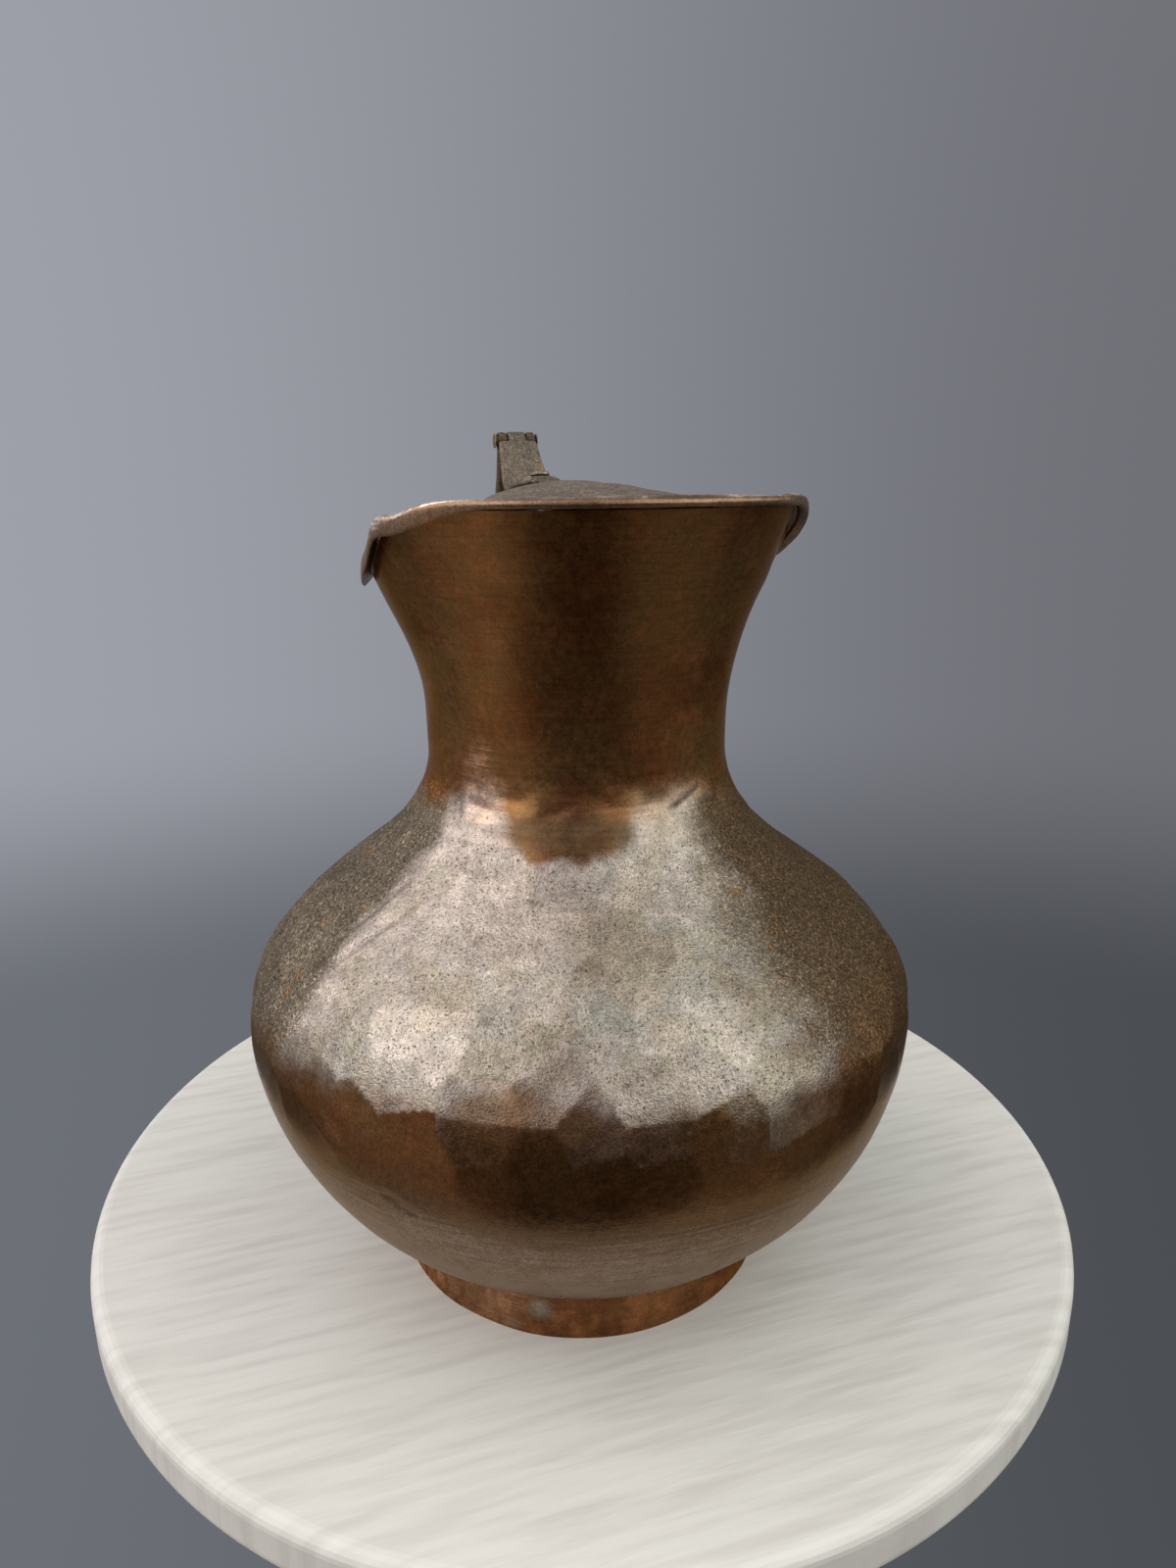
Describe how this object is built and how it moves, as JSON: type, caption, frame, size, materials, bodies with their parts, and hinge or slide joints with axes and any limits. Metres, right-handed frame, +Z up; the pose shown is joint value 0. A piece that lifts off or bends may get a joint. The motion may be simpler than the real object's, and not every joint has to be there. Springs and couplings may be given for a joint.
{
  "type": "lidded copper jug",
  "caption": "Round-bellied hammered copper jug with a flared neck, a saddle-shaped mouth, a hinged lid and a strap handle.",
  "frame": {"origin": "on the jug's axis, in the plane of the foot ring's bottom", "axes": "+Z up along the jug's axis; -Y towards the spout, +Y towards the handle; X across, parallel to the hinge pin"},
  "size_m": [0.1476, 0.1476, 0.1856],
  "materials": {
    "belly_copper": "hammered copper with a grey-brown patina",
    "neck_copper": "smooth dark brown patinated copper, finely scratched",
    "foot_copper": "worn orange-brown copper",
    "lid_copper": "rough grey-brown copper, pink on worn edges",
    "strap_copper": "rough forged strap, grey-brown patina",
    "rivet_copper": "hammered rivet heads",
    "pin_iron": "dark iron"
  },
  "bodies": {
    "jug": {"belly": "belly_copper", "neck": "neck_copper", "foot_ring": "foot_copper", "handle": "strap_copper", "hinge_pin": "pin_iron", "handle_rivet_upper_1": "rivet_copper", "handle_rivet_upper_2": "rivet_copper", "handle_rivet_lower_1": "rivet_copper", "handle_rivet_lower_2": "rivet_copper"},
    "lid": {"lid": "lid_copper", "lid_strap": "strap_copper", "lid_rivet_1": "rivet_copper", "lid_rivet_2": "rivet_copper"}
  },
  "joints": [
    {"name": "lid_hinge", "type": "hinge", "parent": "jug", "child": "lid", "pos_m": [0, 0.04765, 0.1834], "axis": [-1, 0, 0], "range_deg": [0, 110]}
  ]
}
